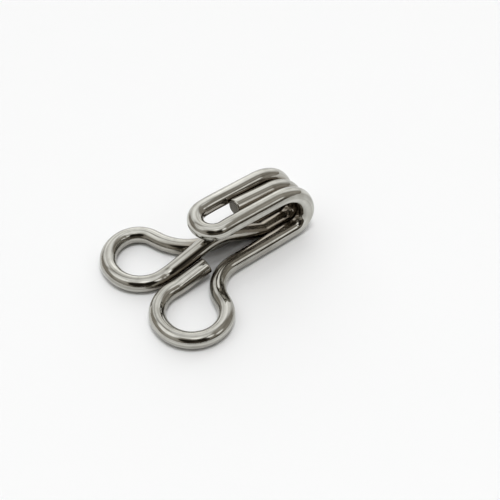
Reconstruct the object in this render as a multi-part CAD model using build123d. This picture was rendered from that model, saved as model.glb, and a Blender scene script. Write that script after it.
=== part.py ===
import os
from math import acos, atan2, cos, degrees, hypot, radians, sin, tan

from build123d import *

# Dress hook: one round wire bent into two sewing loops, a raised bill and a tongue between the bill wires.
# Lengths in millimetres. +X runs from the sewing loops to the bend, +Z is up, the hook lies on the floor.

# Wire
wire_diameter = 1.0
wire_radius = wire_diameter / 2
cut_round = 0.07

# Shanks and bill wires lie side by side at this distance from centre to centre
wire_pitch = 1.04

# Bend that carries each wire from the floor up into the bill, tight at the bottom and wide at the top
bend_low_radius = 1.03
bend_low_angle = 95.5
bend_high_radius = 2.41

# Bill: its wires rise a little from the bend, then droop towards the round nose
bill_rise_angle = 1.7
bill_length = 3.0
bill_droop_radius = 10.0
bill_droop_angle = 5.2

# Tongue between the bill wires: its bend is a little tighter and further ahead than theirs
tongue_rise_angle = 4.6
tongue_length = 2.61
tongue_inset = 0.09
tongue_ahead = 0.075

# Sewing loops: distance of each centre behind the bend and to the side of the middle plane
loop_radius = 1.97
loop_stretch = 0.12
near_loop_back = 8.74
near_loop_side = 2.45
near_front_radius = 1.86
far_loop_back = 8.65
far_loop_side = 2.65
far_front_radius = 1.58

# Neck that swings each shank out into its loop
near_neck_radius = 2.25
far_neck_radius = 3.2
neck_straight = 0.4

# Inner runs of the loops: flat at first, then rising off the floor
run_lead = 0.5
rise_radius = 2.0
near_run_length = 2.6
near_run_rise = 0.45

# Hump of the tongue wire under the bill, where it leaves the floor and where it lies down again
hump_back = 4.72
hump_side = 0.31
hump_rise = 1.44
hump_radius = 2.1
valley_back = 1.6
valley_radius = 1.5

# Sides of the middle plane, and turns in degrees
near = -1
far = 1
quarter_turn = 90
half_turn = 180


def floor_point(along, outward, side):
    # Point of the centreline of a wire lying on the floor.
    return Vector(along, side * outward, wire_radius)


def rounded_run(corners, radii):
    # Straight runs through the corners with each inner corner rounded to its own radius.
    edges = []
    start = corners[0]
    for before, corner, after, radius in zip(corners, corners[1:], corners[2:], radii):
        coming = (corner - before).normalized()
        going = (after - corner).normalized()
        half_angle = radians(coming.get_angle(going)) / 2
        setback = radius * tan(half_angle)
        inward = (going - coming).normalized()
        arc_start = corner - coming * setback
        arc_middle = corner + inward * (radius / cos(half_angle) - radius)
        arc_end = corner + going * setback
        edges += [Line(start, arc_start), ThreePointArc(arc_start, arc_middle, arc_end)]
        start = arc_end
    return edges + [Line(start, corners[-1])]


def bend_point(angle, across, inset):
    # Point of a bend after turning through this angle from the floor.
    low = bend_low_radius - inset
    high = bend_high_radius - inset
    low_turn = radians(min(angle, bend_low_angle))
    high_turn = radians(max(angle, bend_low_angle))
    joint_turn = radians(bend_low_angle)
    along = low * sin(low_turn) + high * (sin(high_turn) - sin(joint_turn))
    height = low - low * cos(low_turn) + high * (cos(joint_turn) - cos(high_turn))
    return Vector(along, across, wire_radius + height)


def bend_edges(across, inset, rise_angle):
    # Lower and upper arc of one bend, up to where its bill wire or tongue starts.
    end_angle = half_turn - rise_angle
    low_middle = bend_point(bend_low_angle / 2, across, inset)
    low_end = bend_point(bend_low_angle, across, inset)
    high_middle = bend_point((bend_low_angle + end_angle) / 2, across, inset)
    low_arc = ThreePointArc(bend_point(0, across, inset), low_middle, low_end)
    return [low_arc, ThreePointArc(low_end, high_middle, bend_point(end_angle, across, inset))]


def bill_point(across, inset, rise_angle, distance):
    # Point of a straight bill wire or tongue at this distance behind the end of its bend.
    rise = radians(rise_angle)
    return bend_point(half_turn - rise_angle, across, inset) + Vector(-cos(rise), 0, sin(rise)) * distance


def droop_point(across, angle):
    # Point of the drooping end of a bill wire after turning down through this angle.
    rise = radians(bill_rise_angle)
    fall = radians(bill_rise_angle - angle)
    back = bill_droop_radius * (sin(rise) - sin(fall))
    lift = bill_droop_radius * (cos(fall) - cos(rise))
    return bill_point(across, 0, bill_rise_angle, bill_length) + Vector(-back, 0, lift)


def bill_wire_edges(across):
    # Straight run and drooping end of one bill wire.
    root = bill_point(across, 0, bill_rise_angle, 0)
    droop_start = droop_point(across, 0)
    droop_middle = droop_point(across, bill_droop_angle / 2)
    droop_end = droop_point(across, bill_droop_angle)
    return [Line(root, droop_start), ThreePointArc(droop_start, droop_middle, droop_end)]


def nose_edge():
    # Round nose that joins the two bill wires.
    fall = radians(bill_rise_angle - bill_droop_angle)
    nose_front = droop_point(0, bill_droop_angle) + Vector(-cos(fall), 0, sin(fall)) * wire_pitch
    near_tip = droop_point(near * wire_pitch, bill_droop_angle)
    far_tip = droop_point(far * wire_pitch, bill_droop_angle)
    return ThreePointArc(near_tip, nose_front, far_tip)


def outer_wire_edges(across):
    # Bend and bill wire of one side.
    return bend_edges(across, 0, bill_rise_angle) + bill_wire_edges(across)


def circle_point(back, outward, radius, angle, side):
    # Point of a circle lying flat, the angle measured from its outermost point towards the bend.
    turn = radians(angle)
    return floor_point(radius * sin(turn) - back, outward + radius * cos(turn), side)


def flat_arc(back, outward, radius, start_angle, end_angle, side):
    # Arc of such a circle between two angles.
    angles = (start_angle, (start_angle + end_angle) / 2, end_angle)
    return ThreePointArc(*[circle_point(back, outward, radius, angle, side) for angle in angles])


def neck_angle_for(front_side, front_radius, neck_radius):
    # Turn of the neck that brings the shank line tangent to the front arc of the loop.
    reach = neck_radius + front_radius
    offset = wire_pitch + neck_radius - front_side
    return degrees(acos(offset / hypot(reach, neck_straight)) - atan2(neck_straight, reach))


def loop_edges(loop_back, loop_side, front_radius, neck_angle, side):
    # Sewing loop from its neck round to its inner run: tighter in front, a little longer than wide.
    outer_side = loop_side + loop_stretch
    front_side = outer_side + loop_radius - front_radius
    outer_rear = circle_point(loop_back, outer_side, loop_radius, -quarter_turn, side)
    inner_rear = circle_point(loop_back, loop_side, loop_radius, -quarter_turn, side)
    return [
        flat_arc(loop_back, front_side, front_radius, neck_angle, 0, side),
        flat_arc(loop_back, outer_side, loop_radius, 0, -quarter_turn, side),
        Line(outer_rear, inner_rear),
        flat_arc(loop_back, loop_side, loop_radius, -quarter_turn, -half_turn, side),
    ]


def shank_and_loop_edges(loop_back, loop_side, front_radius, neck_radius, side):
    # Shank from the bend, neck and sewing loop of one side, as far as the start of the inner run.
    front_side = loop_side + loop_stretch + loop_radius - front_radius
    neck_angle = neck_angle_for(front_side, front_radius, neck_radius)
    turn = radians(neck_angle)
    neck_start = (neck_radius + front_radius) * sin(turn) + neck_straight * cos(turn) - loop_back

    def neck_point(angle):
        swing = radians(angle)
        outward = wire_pitch + neck_radius - neck_radius * cos(swing)
        return floor_point(neck_start - neck_radius * sin(swing), outward, side)

    loop_start = circle_point(loop_back, front_side, front_radius, neck_angle, side)
    return [
        Line(floor_point(0, wire_pitch, side), neck_point(0)),
        ThreePointArc(neck_point(0), neck_point(neck_angle / 2), neck_point(neck_angle)),
        Line(neck_point(neck_angle), loop_start),
    ] + loop_edges(loop_back, loop_side, front_radius, neck_angle, side)


def near_run_edges():
    # Inner run of the near loop, rising to its cut end.
    start = circle_point(near_loop_back, near_loop_side, loop_radius, half_turn, near)
    lead = start + Vector(run_lead, 0, 0)
    cut_end = start + Vector(near_run_length, 0, near_run_rise)
    return rounded_run([start, lead, cut_end], [rise_radius])


def tongue_edges():
    # Inner run of the far loop, carried over the hump, up the middle bend and back as the tongue.
    start = circle_point(far_loop_back, far_loop_side, loop_radius, half_turn, far)
    lead = start + Vector(run_lead, 0, 0)
    hump = Vector(-hump_back, hump_side, wire_radius + hump_rise)
    valley = floor_point(-valley_back, 0, far)
    bend_start = floor_point(tongue_ahead, 0, far)
    shank = rounded_run([start, lead, hump, valley, bend_start], [rise_radius, hump_radius, valley_radius])
    tongue_root = bill_point(0, tongue_inset, tongue_rise_angle, 0)
    tongue_end = bill_point(0, tongue_inset, tongue_rise_angle, tongue_length)
    upper = bend_edges(0, tongue_inset, tongue_rise_angle) + [Line(tongue_root, tongue_end)]
    return shank + [Pos(tongue_ahead, 0, 0) * edge for edge in upper]


def centreline():
    near_sizes = (near_loop_back, near_loop_side, near_front_radius, near_neck_radius)
    far_sizes = (far_loop_back, far_loop_side, far_front_radius, far_neck_radius)
    near_side = shank_and_loop_edges(*near_sizes, near)
    far_side = shank_and_loop_edges(*far_sizes, far)
    outer_wires = outer_wire_edges(near * wire_pitch) + outer_wire_edges(far * wire_pitch)
    return Wire(near_run_edges() + near_side + outer_wires + [nose_edge()] + far_side + tongue_edges())


def wire_hook():
    path = centreline()
    section = Plane(origin=path @ 0, z_dir=path % 0) * Circle(wire_radius)
    rod = sweep(section, path)
    cut_faces = rod.faces().filter_by(GeomType.PLANE)
    return fillet(cut_faces.edges(), cut_round)


hook = wire_hook()
bounds = hook.bounding_box()
hook = Pos(-bounds.center().X, -bounds.center().Y, -bounds.min.Z) * hook

os.makedirs("parts", exist_ok=True)
export_step(hook, "parts/wire_hook.step")
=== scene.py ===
import math

import bpy
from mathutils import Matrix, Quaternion, Vector, noise


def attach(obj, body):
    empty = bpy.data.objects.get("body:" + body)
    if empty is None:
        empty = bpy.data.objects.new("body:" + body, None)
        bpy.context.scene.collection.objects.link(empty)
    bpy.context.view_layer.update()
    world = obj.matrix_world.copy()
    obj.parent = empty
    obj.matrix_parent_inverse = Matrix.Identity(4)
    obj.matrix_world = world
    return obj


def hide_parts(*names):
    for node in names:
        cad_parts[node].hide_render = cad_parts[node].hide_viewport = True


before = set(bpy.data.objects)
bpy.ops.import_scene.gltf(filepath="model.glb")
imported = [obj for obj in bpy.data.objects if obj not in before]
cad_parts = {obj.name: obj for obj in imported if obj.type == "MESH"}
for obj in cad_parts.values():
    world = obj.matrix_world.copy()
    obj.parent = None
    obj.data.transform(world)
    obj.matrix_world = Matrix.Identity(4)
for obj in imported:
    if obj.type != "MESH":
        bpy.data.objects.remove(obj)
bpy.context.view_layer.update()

mm = 0.001  # the frame is in metres, the wire sizes below are in millimetres
scene = bpy.context.scene


def hexToLinear(code):
    # sRGB hex to the linear colour the shader sockets take
    channels = [int(code.lstrip("#")[i:i + 2], 16) / 255 for i in (0, 2, 4)]
    return tuple(c / 12.92 if c <= 0.04045 else ((c + 0.055) / 1.055) ** 2.4 for c in channels) + (1.0,)


def addNode(tree, kind, settings=None, inputs=None):
    # one node with its settings; an input is a plain value or the output it is linked to
    node = tree.nodes.new(kind)
    for name, value in (settings or {}).items():
        setattr(node, name, value)
    for name, value in (inputs or {}).items():
        if isinstance(value, bpy.types.NodeSocket):
            tree.links.new(value, node.inputs[name])
        else:
            node.inputs[name].default_value = value
    return node


# Bent wire: the same path as the solid, with a finer skin
wire = {
    "diameter": 1.0,
    "pitch": 1.04,             # centre to centre of neighbouring wires
    "bendLow": 1.03,           # bend: tight below, wide above
    "bendLowTurn": 95.5,
    "bendHigh": 2.41,
    "billRise": 1.7,           # degrees, on leaving the bend
    "billLength": 3.0,         # straight part, before the droop
    "droopRadius": 10.0,       # the bill's end droops towards the nose
    "droopTurn": 5.2,
    "tongueRise": 4.6,
    "tongueLength": 2.61,
    "tongueInset": 0.09,
    "tongueAhead": 0.075,
    "loopRadius": 1.97,
    "loopStretch": 0.12,
    "near": {"back": 8.74, "out": 2.45, "front": 1.86, "neck": 2.25, "side": -1},
    "far": {"back": 8.65, "out": 2.65, "front": 1.58, "neck": 3.2, "side": 1},
    "neckStraight": 0.4,
    "runLead": 0.5,
    "riseRadius": 2.0,
    "nearRun": 2.6,
    "nearRise": 0.45,
    "humpBack": 4.72,
    "humpSide": 0.31,
    "humpRise": 1.44,
    "humpRadius": 2.1,
    "valleyBack": 1.6,
    "valleyRadius": 1.5,
    "cutRound": 0.07,          # rounded rim of the two cut ends
    "arcSteps": {"bend": 120, "droop": 20, "nose": 120, "loop": 60, "corner": 24},
    "ringStep": 0.05,          # spacing of the skin's rings along the wire
    "ringPoints": 40,
    "drawWave": 0.004,         # slow change of the drawn wire's thickness, never above the nominal
    "waveLength": 1.7,
    "waveRow": 3.1,            # row of the noise field that the wave is read from
    "bendFlat": 0.02,          # how much a bend of one wire radius would flatten the section
    "curveRings": 4,           # rings to each side over which a bend is measured
    "slightBend": 0.1,         # a bend slighter than this flattens less in proportion
}
wireRadius = wire["diameter"] / 2


def sampleArc(start, middle, end, count):
    # points of the circle arc through three points
    a, b = middle - start, end - start
    normal = a.cross(b)
    inward = normal.cross(a) * b.length_squared + b.cross(normal) * a.length_squared
    centre = start + inward / (2 * normal.length_squared)
    spoke = start - centre
    sweep = spoke.angle(middle - centre) + (middle - centre).angle(end - centre)
    axis = spoke.cross(middle - centre).normalized()
    return [centre + Quaternion(axis, sweep * i / count) @ spoke for i in range(count + 1)]


def roundedRun(corners, radii):
    # straight runs with each inner corner rounded
    points = [corners[0]]
    for before, corner, after, radius in zip(corners, corners[1:], corners[2:], radii):
        coming, going = (corner - before).normalized(), (after - corner).normalized()
        half = coming.angle(going) / 2
        setback = radius * math.tan(half)
        middle = corner + (going - coming).normalized() * (radius / math.cos(half) - radius)
        arcStart, arcEnd = corner - coming * setback, corner + going * setback
        points += sampleArc(arcStart, middle, arcEnd, wire["arcSteps"]["corner"])
    return points + [corners[-1]]


def bendPoint(turn, across, inset=0.0):
    # point of a bend after this turn in degrees from the floor
    low, high = wire["bendLow"] - inset, wire["bendHigh"] - inset
    joint = math.radians(wire["bendLowTurn"])
    a, b = min(math.radians(turn), joint), max(math.radians(turn), joint)
    along = low * math.sin(a) + high * (math.sin(b) - math.sin(joint))
    height = low - low * math.cos(a) + high * (math.cos(joint) - math.cos(b))
    return Vector((along, across, wireRadius + height))


def bendPoints(across, rise, inset=0.0):
    # the whole bend, from the floor to where the bill wire or tongue leaves it
    steps = wire["arcSteps"]["bend"]
    return [bendPoint((180 - rise) * i / steps, across, inset) for i in range(steps + 1)]


def billPoint(across, distance, rise, inset=0.0):
    # point of a straight bill wire or tongue, this far behind the bend
    a = math.radians(rise)
    return bendPoint(180 - rise, across, inset) + Vector((-math.cos(a), 0, math.sin(a))) * distance


def droopPoint(across, turn):
    # point of the bill's end after drooping by this turn
    a, b = math.radians(wire["billRise"]), math.radians(wire["billRise"] - turn)
    back, lift = math.sin(a) - math.sin(b), math.cos(b) - math.cos(a)
    return billPoint(across, wire["billLength"], wire["billRise"]) + Vector((-back, 0, lift)) * wire["droopRadius"]


def billPoints(across):
    # bend and bill wire of one side, up to the nose
    steps = wire["arcSteps"]["droop"]
    droop = [droopPoint(across, wire["droopTurn"] * i / steps) for i in range(steps + 1)]
    return bendPoints(across, wire["billRise"]) + droop


def sidePoints(side):
    # shank, neck and sewing loop of one side, from the bend to the start of the inner run
    sign, front, neck = side["side"], side["front"], side["neck"]
    straight, radius, steps = wire["neckStraight"], wire["loopRadius"], wire["arcSteps"]["loop"]
    outer = side["out"] + wire["loopStretch"]
    frontOut = outer + radius - front
    reach = neck + front
    lean = math.atan2(straight, reach)
    turn = math.acos((wire["pitch"] + neck - frontOut) / math.hypot(reach, straight)) - lean   # neck meets loop
    neckStart = reach * math.sin(turn) + straight * math.cos(turn) - side["back"]

    def place(along, outward):
        return Vector((along, sign * outward, wireRadius))

    def circle(outward, r, a0, a1):
        angles = [a0 + (a1 - a0) * i / steps for i in range(steps + 1)]
        return [place(r * math.sin(a) - side["back"], outward + r * math.cos(a)) for a in angles]

    points = [place(0, wire["pitch"])]
    for i in range(steps + 1):
        a = turn * i / steps
        points.append(place(neckStart - neck * math.sin(a), wire["pitch"] + neck - neck * math.cos(a)))
    points += circle(frontOut, front, turn, 0)
    points += circle(outer, radius, 0, -math.pi / 2)
    points += circle(side["out"], radius, -math.pi / 2, -math.pi)
    return points


def wirePath():
    # the whole centreline, from the cut end of the near loop to the tip of the tongue
    near, far, pitch = sidePoints(wire["near"]), sidePoints(wire["far"]), wire["pitch"]
    ahead, up = Vector((1, 0, 0)), Vector((0, 0, 1))
    start = near[-1]
    lead = start + ahead * wire["runLead"]
    cutEnd = start + ahead * wire["nearRun"] + up * wire["nearRise"]
    nearRun = roundedRun([start, lead, cutEnd], [wire["riseRadius"]])
    nearBill, farBill = billPoints(-pitch), billPoints(pitch)
    fall = math.radians(wire["billRise"] - wire["droopTurn"])
    noseFront = droopPoint(0, wire["droopTurn"]) + Vector((-math.cos(fall), 0, math.sin(fall))) * pitch
    nose = sampleArc(nearBill[-1], noseFront, farBill[-1], wire["arcSteps"]["nose"])
    start = far[-1]
    lead = start + ahead * wire["runLead"]
    shift = ahead * wire["tongueAhead"]
    hump = Vector((-wire["humpBack"], wire["humpSide"], wireRadius + wire["humpRise"]))
    valley = Vector((-wire["valleyBack"], 0, wireRadius))
    bendStart = Vector((0, 0, wireRadius)) + shift
    tongueRadii = [wire["riseRadius"], wire["humpRadius"], wire["valleyRadius"]]
    tongueRun = roundedRun([start, lead, hump, valley, bendStart], tongueRadii)
    tongueBend = [p + shift for p in bendPoints(0, wire["tongueRise"], wire["tongueInset"])]
    tip = billPoint(0, wire["tongueLength"], wire["tongueRise"], wire["tongueInset"]) + shift
    return nearRun[::-1] + near[::-1] + nearBill + nose + farBill[::-1] + far + tongueRun + tongueBend + [tip]


def evenlySpaced(points, step):
    # the same line with points at one even spacing
    kept = [points[0]]
    for p in points[1:]:
        if (p - kept[-1]).length > 1e-5:
            kept.append(p)
    reach = [0.0]
    for a, b in zip(kept, kept[1:]):
        reach.append(reach[-1] + (b - a).length)
    count = round(reach[-1] / step)
    even, i = [], 0
    for k in range(count + 1):
        s = reach[-1] * k / count
        while i < len(reach) - 2 and reach[i + 1] < s:
            i += 1
        even.append(kept[i].lerp(kept[i + 1], (s - reach[i]) / (reach[i + 1] - reach[i])))
    return even, reach[-1]


def skinWire():
    # rings carried along the centreline without twist, rounded in at both cut ends
    centre, length = evenlySpaced(wirePath(), wire["ringStep"])
    count, around = len(centre), wire["ringPoints"]
    tangent = [(centre[min(i + 1, count - 1)] - centre[max(i - 1, 0)]).normalized() for i in range(count)]
    side = tangent[0].orthogonal().normalized()
    rings = []                                      # place, tangent, side, distance from the near cut end
    for i in range(count):
        if i:
            side = tangent[i - 1].rotation_difference(tangent[i]) @ side
            side = (side - tangent[i] * side.dot(tangent[i])).normalized()
        rings.append((centre[i], tangent[i], side, length * i / (count - 1)))
    step, rim, spread = length / (count - 1), wire["cutRound"], wire["curveRings"]
    verts, along = [], []
    for i, (place, t, s, distance) in enumerate(rings):
        b = t.cross(s)
        a, c = max(i - spread, 0), min(i + spread, count - 1)
        curve = (tangent[c] - tangent[a]) / (step * (c - a))     # points to the inside of the bend
        wave = noise.noise(Vector((distance / wire["waveLength"], wire["waveRow"], 0)))    # -1 to 1
        thickness = 1 - wire["drawWave"] * (0.5 + 0.5 * wave)
        fromEnd = min(distance, length - distance)
        inset = 0.0
        if fromEnd < rim:
            inset = rim - math.sqrt(max(rim ** 2 - (rim - fromEnd) ** 2, 0))
        for k in range(around):
            angle = 2 * math.pi * k / around
            out = s * math.cos(angle) + b * math.sin(angle)
            bend = out.dot(curve) * wireRadius                    # 1 would be a bend of one wire radius
            squeeze = 1 - wire["bendFlat"] * bend ** 2 / max(curve.length * wireRadius, wire["slightBend"])
            verts.append(place + out * (wireRadius * thickness * squeeze - inset))
        along.append(distance / length)
    return verts, along, around, length


def buildWire():
    verts, along, around, length = skinWire()
    low = Vector([min(v[i] for v in verts) for i in range(3)])
    high = Vector([max(v[i] for v in verts) for i in range(3)])
    base = Vector(((low.x + high.x) / 2, (low.y + high.y) / 2, low.z))   # under the middle, as the solid has it
    count = len(along)
    points = [(v - base) * mm for v in verts]
    faces = []
    for i in range(count - 1):
        for k in range(around):
            n = (k + 1) % around
            faces.append((i * around + k, i * around + n, (i + 1) * around + n, (i + 1) * around + k))
    sides = len(faces)
    faces += [tuple(range(around))[::-1], tuple((count - 1) * around + k for k in range(around))]
    mesh = bpy.data.meshes.new("bentWire")
    mesh.from_pydata(points, [], faces)
    layer = mesh.uv_layers.new(name="alongWire")          # u once round the wire, v from end to end
    capAcross, capAlong = 0.02, 0.0005                    # a cut face's small patch on that map
    for p in mesh.polygons:
        for corner, loop in enumerate(p.loop_indices):
            ring, k = divmod(p.vertices[corner], around)
            if p.index < sides:
                first = p.index % around
                u = (first + (1 if k != first else 0)) / around      # a ring's last face ends at 1, not at 0
                layer.data[loop].uv = (u, along[ring])
            else:
                angle = 2 * math.pi * k / around
                end = p.index - sides
                layer.data[loop].uv = (0.5 + capAcross * math.cos(angle), end + capAlong * math.sin(angle))
        p.use_smooth = p.index < sides
        p.material_index = 0 if p.index < sides else 1
    piece = bpy.data.objects.new("bentWire", mesh)
    scene.collection.objects.link(piece)
    print("wire skin:", round(length, 2), "mm long,", len(points), "points,", len(faces), "faces")
    return piece, length


# Nickel-plated drawn wire: bright electroplate over brass, tumbled after bending. Smooth mirror-like metal, faintly
# warm, with streaks along the wire from the drawing die and a slight cloudiness from the tumbling. Where the wire's
# own parts overhang it, under the bill and inside the bends, its colour is darkened and browned: that is painted
# shade.
nickelPlate = {
    "clean": "#C9C8C1",
    "dulled": "#8F8D85",
    # painted shade: a darker, browner colour standing in for the shade under the bill and inside the bends
    "paintedShade": "#8A8378",
    "paintedShadeReach": 6.0,    # mm, how far the wire's own parts overhead are looked for; under them the colour gets painted shade
    "paintedShadeRange": (0.4, 0.92),    # openness at which the painted shade is full, and gone
    "roughness": (0.04, 0.10),
    "streaks": 0.75,        # share of the die lines in the dulling, the rest is the tumbling's clouds
    "streakRange": (0.35, 0.65),   # part of the line noise that goes from clean to dulled
    "cloudSize": 0.9,      # mm
    "cloudRange": (0.4, 0.7),      # the same for the clouds
    "lineSpacing": 0.16,   # mm round the wire; real die lines are finer, these are as coarse as they need to show
    "lineRun": 9.0,        # mm along the wire before a line fades
    "lineDepth": 0.014,    # mm
    "pitSize": 0.16,       # mm
    "pitDepth": 0.0008,    # mm
}


def nickelMaterial(length):
    m = nickelPlate
    material = bpy.data.materials.new("nickelPlatedDrawnWire")
    material.use_nodes = True
    tree = material.node_tree
    tree.nodes.clear()
    uv = addNode(tree, "ShaderNodeUVMap", {"uv_map": "alongWire"})
    place = addNode(tree, "ShaderNodeTexCoord")
    girth = math.pi * wire["diameter"]
    lines = addNode(tree, "ShaderNodeMapping", inputs={
        "Vector": uv.outputs["UV"], "Scale": (girth / m["lineSpacing"], length / m["lineRun"], 1)})
    lineNoise = addNode(tree, "ShaderNodeTexNoise", inputs={
        "Vector": lines.outputs["Vector"], "Scale": 1.0, "Detail": 3.0})
    clouds = addNode(tree, "ShaderNodeTexNoise", inputs={
        "Vector": place.outputs["Object"], "Scale": 1 / (m["cloudSize"] * mm), "Detail": 4.0, "Roughness": 0.6})
    pits = addNode(tree, "ShaderNodeTexNoise", inputs={
        "Vector": place.outputs["Object"], "Scale": 1 / (m["pitSize"] * mm), "Detail": 2.0})
    dull = addNode(tree, "ShaderNodeMapRange", {"interpolation_type": "SMOOTHSTEP"}, {
        "Value": clouds.outputs["Fac"], "From Min": m["cloudRange"][0], "From Max": m["cloudRange"][1]})
    streaks = addNode(tree, "ShaderNodeMapRange", inputs={
        "Value": lineNoise.outputs["Fac"], "From Min": m["streakRange"][0], "From Max": m["streakRange"][1],
        "To Max": m["streaks"]})
    worn = addNode(tree, "ShaderNodeMath", {"operation": "MULTIPLY_ADD", "use_clamp": True}, {
        0: dull.outputs["Result"], 1: 1 - m["streaks"], 2: streaks.outputs["Result"]})
    surface = addNode(tree, "ShaderNodeMix", {"data_type": "RGBA"}, {
        "Factor": worn.outputs["Value"], "A": hexToLinear(m["clean"]), "B": hexToLinear(m["dulled"])})
    # painted shade: the wire's own occlusion mixes the colour towards the darker shade colour
    shelter = addNode(tree, "ShaderNodeAmbientOcclusion", {"samples": 12, "only_local": True}, {
        "Distance": m["paintedShadeReach"] * mm})
    paintedShadeMask = addNode(tree, "ShaderNodeMapRange", {"interpolation_type": "SMOOTHSTEP"}, {
        "Value": shelter.outputs["AO"], "From Min": m["paintedShadeRange"][0], "From Max": m["paintedShadeRange"][1],
        "To Min": 1.0, "To Max": 0.0})
    shadedPlate = addNode(tree, "ShaderNodeMix", {"data_type": "RGBA"}, {
        "Factor": paintedShadeMask.outputs["Result"], "A": surface.outputs["Result"], "B": hexToLinear(m["paintedShade"])})
    rough = addNode(tree, "ShaderNodeMapRange", inputs={
        "Value": worn.outputs["Value"], "To Min": m["roughness"][0], "To Max": m["roughness"][1]})
    lineBump = addNode(tree, "ShaderNodeBump", inputs={
        "Height": lineNoise.outputs["Fac"], "Distance": m["lineDepth"] * mm, "Strength": 1.0})
    pitBump = addNode(tree, "ShaderNodeBump", inputs={
        "Height": pits.outputs["Fac"], "Distance": m["pitDepth"] * mm, "Strength": 1.0,
        "Normal": lineBump.outputs["Normal"]})
    metal = addNode(tree, "ShaderNodeBsdfPrincipled", inputs={
        "Base Color": shadedPlate.outputs["Result"], "Metallic": 1.0, "Roughness": rough.outputs["Result"],
        "Normal": pitBump.outputs["Normal"]})
    addNode(tree, "ShaderNodeOutputMaterial", inputs={"Surface": metal.outputs["BSDF"]})
    return material


# Sheared wire end: the cutter tears the metal, so the face is dull and darker, with shear lines across it.
shearedEnd = {
    "face": "#8E8B83",
    "torn": "#6A665E",
    "roughness": 0.45,
    "lineSpacing": 0.12,   # mm between shear lines
    "lineDepth": 0.01,     # mm
    "waveBand": 0.314,     # one band of a wave texture at scale 1, in its own units
}


def shearedMaterial():
    m = shearedEnd
    material = bpy.data.materials.new("shearedWireEnd")
    material.use_nodes = True
    tree = material.node_tree
    tree.nodes.clear()
    place = addNode(tree, "ShaderNodeTexCoord")
    waves = addNode(tree, "ShaderNodeTexWave", {"bands_direction": "Z"}, {
        "Vector": place.outputs["Object"], "Scale": m["waveBand"] / (m["lineSpacing"] * mm),
        "Distortion": 3.0, "Detail": 3.0})
    colour = addNode(tree, "ShaderNodeMix", {"data_type": "RGBA"}, {
        "Factor": waves.outputs["Fac"], "A": hexToLinear(m["face"]), "B": hexToLinear(m["torn"])})
    bump = addNode(tree, "ShaderNodeBump", inputs={
        "Height": waves.outputs["Fac"], "Distance": m["lineDepth"] * mm})
    metal = addNode(tree, "ShaderNodeBsdfPrincipled", inputs={
        "Base Color": colour.outputs["Result"], "Metallic": 1.0, "Roughness": m["roughness"],
        "Normal": bump.outputs["Normal"]})
    addNode(tree, "ShaderNodeOutputMaterial", inputs={"Surface": metal.outputs["BSDF"]})
    return material


bentWire, wireLength = buildWire()
bentWire.data.materials.append(nickelMaterial(wireLength))
bentWire.data.materials.append(shearedMaterial())
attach(bentWire, "root")
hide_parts("wire_hook")
print("materials on the wire:", [m.name for m in bentWire.data.materials])


# Camera: above the loops on the near side, looking down at the hook
view = {
    "turn": 38.63,          # degrees the camera stands round from the hook's side
    "height": 47.68,        # degrees above the floor
    "distance": 63.39,      # mm
    "target": (1.673, -0.917, 0.5),     # mm
    "lens": 75.78,          # mm, on the sensor below
    "sensor": 36,           # mm
    "clip": (0.001, 20),    # m
}
turn, height = math.radians(view["turn"]), math.radians(view["height"])
rightward = Vector((math.cos(turn), -math.sin(turn), 0))
backward = Vector((math.sin(turn), math.cos(turn), 0))      # away from the camera, along the floor
upward = Vector((0, 0, 1))
lookAlong = backward * math.cos(height) - upward * math.sin(height)
camera = bpy.data.objects.new("studioCamera", bpy.data.cameras.new("studioCamera"))
camera.data.lens = view["lens"]
camera.data.sensor_width = view["sensor"]
camera.data.clip_start, camera.data.clip_end = view["clip"]
camera.location = (Vector(view["target"]) - lookAlong * view["distance"]) * mm
camera.rotation_euler = lookAlong.to_track_quat("-Z", "Y").to_euler()
scene.collection.objects.link(camera)
scene.camera = camera
print("camera at", tuple(round(c, 4) for c in camera.location))


# Light tent: pale cloth with soft boxes and dark openings. Azimuth is seen from the hook: 0 is the camera's side, 90
# its right, 180 behind. A later panel covers an earlier one.
tent = {
    "cloth": 0.35,
    "panels": [
        # azimuth, elevation, full inside, gone outside (degrees), brightness
        (180, 18, 34, 54, 1.20),    # back wall
        (180, 26, 6, 18, 1.75),     # its middle, nearer the lamp
        (-133, 36, 9, 18, 1.05),    # its left edge
        (-85, 55, 12, 26, 1.35),    # left soft box
        (-54, 20, 16, 26, 0.48),    # left front cloth
        (96, 16, 12, 20, 0.42),     # right cloth
        (58, 4, 14, 22, 0.10),      # gap below the strip lights
        (8, 8, 25, 35, 0.09),       # opening for the camera
        (-14, 40, 15, 20, 0.02),    # its upper left
        (27, 41, 15, 19, 0.02),     # its upper right
        (0, 90, 19, 29, 1.08),      # roof light
        (22, 76, 13, 17, 1.12),     # its front edge
        (10, 71, 4, 10, 1.75),      # lamp behind that edge
        (73, 34, 6, 12, 1.45),      # right strip light
        (50, 48, 5, 10, 1.50),      # right front strip light
        (104, 60, 9, 15, 0.45),     # seam beside the roof light
    ],
    "bright": "#FFFFFF",
    "dim": "#FFEED3",       # dim parts of the room are a little warm
    "neutralFrom": 0.7,     # brightness from which the light has no tint
}


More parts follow.
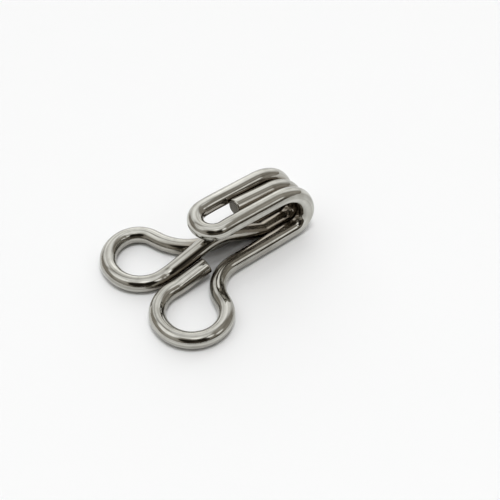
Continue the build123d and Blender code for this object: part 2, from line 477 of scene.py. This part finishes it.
def tentWorld():
    world = bpy.data.worlds.new("lightTent")
    world.use_nodes = True
    tree = world.node_tree
    tree.nodes.clear()
    way = addNode(tree, "ShaderNodeTexCoord")
    level = tent["cloth"]
    for azimuth, elevation, inner, outer, brightness in tent["panels"]:
        a, e = math.radians(azimuth), math.radians(elevation)
        facing = (rightward * math.sin(a) - backward * math.cos(a)) * math.cos(e) + upward * math.sin(e)
        rim, core = math.cos(math.radians(outer)), math.cos(math.radians(inner))
        towards = addNode(tree, "ShaderNodeVectorMath", {"operation": "DOT_PRODUCT"}, {
            0: way.outputs["Generated"], 1: facing})
        mask = addNode(tree, "ShaderNodeMapRange", {"interpolation_type": "SMOOTHSTEP"}, {
            "Value": towards.outputs["Value"], "From Min": rim, "From Max": core})
        panel = addNode(tree, "ShaderNodeMix", {"data_type": "FLOAT"}, {
            "Factor": mask.outputs["Result"], "A": level, "B": brightness})
        level = panel.outputs["Result"]
    neutral = addNode(tree, "ShaderNodeMapRange", inputs={"Value": level, "From Max": tent["neutralFrom"]})
    tint = addNode(tree, "ShaderNodeMix", {"data_type": "RGBA"}, {
        "Factor": neutral.outputs["Result"], "A": hexToLinear(tent["dim"]), "B": hexToLinear(tent["bright"])})
    cloth = addNode(tree, "ShaderNodeBackground", inputs={"Color": tint.outputs["Result"], "Strength": level})
    addNode(tree, "ShaderNodeOutputWorld", inputs={"Surface": cloth.outputs["Background"]})
    return world


scene.world = tentWorld()

# Overhead soft box, a little to the camera's side: it lights the table and draws the shadow, the metal shows the tent
topLight = {"watts": 0.9, "across": 0.18, "front": 0.07, "right": 0.035, "above": 0.5}     # sizes in m
lamp = bpy.data.objects.new("topLight", bpy.data.lights.new("topLight", "AREA"))
lamp.data.shape = "DISK"
lamp.data.size = topLight["across"]
lamp.data.energy = topLight["watts"]
lamp.location = rightward * topLight["right"] - backward * topLight["front"] + upward * topLight["above"]
lamp.rotation_euler = lamp.location.to_track_quat("Z", "Y").to_euler()
lamp.visible_glossy = False
scene.collection.objects.link(lamp)

# Table: matt white card, uncoated paper board. Flat and almost without gloss, with a trace of fibres.
table = {
    "size": 3.0,            # m
    "card": "#F2F3F4",
    "roughness": 0.9,
    "gloss": 0.1,
    "fibreSize": 0.4,       # mm
    "fibreDepth": 0.002,    # mm
    "fibreStrength": 0.3,
}


def cardMaterial():
    material = bpy.data.materials.new("mattWhiteCard")
    material.use_nodes = True
    tree = material.node_tree
    tree.nodes.clear()
    place = addNode(tree, "ShaderNodeTexCoord")
    fibre = addNode(tree, "ShaderNodeTexNoise", inputs={
        "Vector": place.outputs["Object"], "Scale": 1 / (table["fibreSize"] * mm), "Detail": 2.0})
    bump = addNode(tree, "ShaderNodeBump", inputs={
        "Height": fibre.outputs["Fac"], "Distance": table["fibreDepth"] * mm, "Strength": table["fibreStrength"]})
    card = addNode(tree, "ShaderNodeBsdfPrincipled", inputs={
        "Base Color": hexToLinear(table["card"]), "Roughness": table["roughness"],
        "Specular IOR Level": table["gloss"], "Normal": bump.outputs["Normal"]})
    addNode(tree, "ShaderNodeOutputMaterial", inputs={"Surface": card.outputs["BSDF"]})
    return material


half = table["size"] / 2
sheet = bpy.data.meshes.new("table")
sheet.from_pydata([(-half, -half, 0), (half, -half, 0), (half, half, 0), (-half, half, 0)], [], [(0, 1, 2, 3)])
floor = bpy.data.objects.new("table", sheet)
floor.data.materials.append(cardMaterial())
scene.collection.objects.link(floor)
print("tent, top light and table set")

scene.view_settings.view_transform = "Standard"
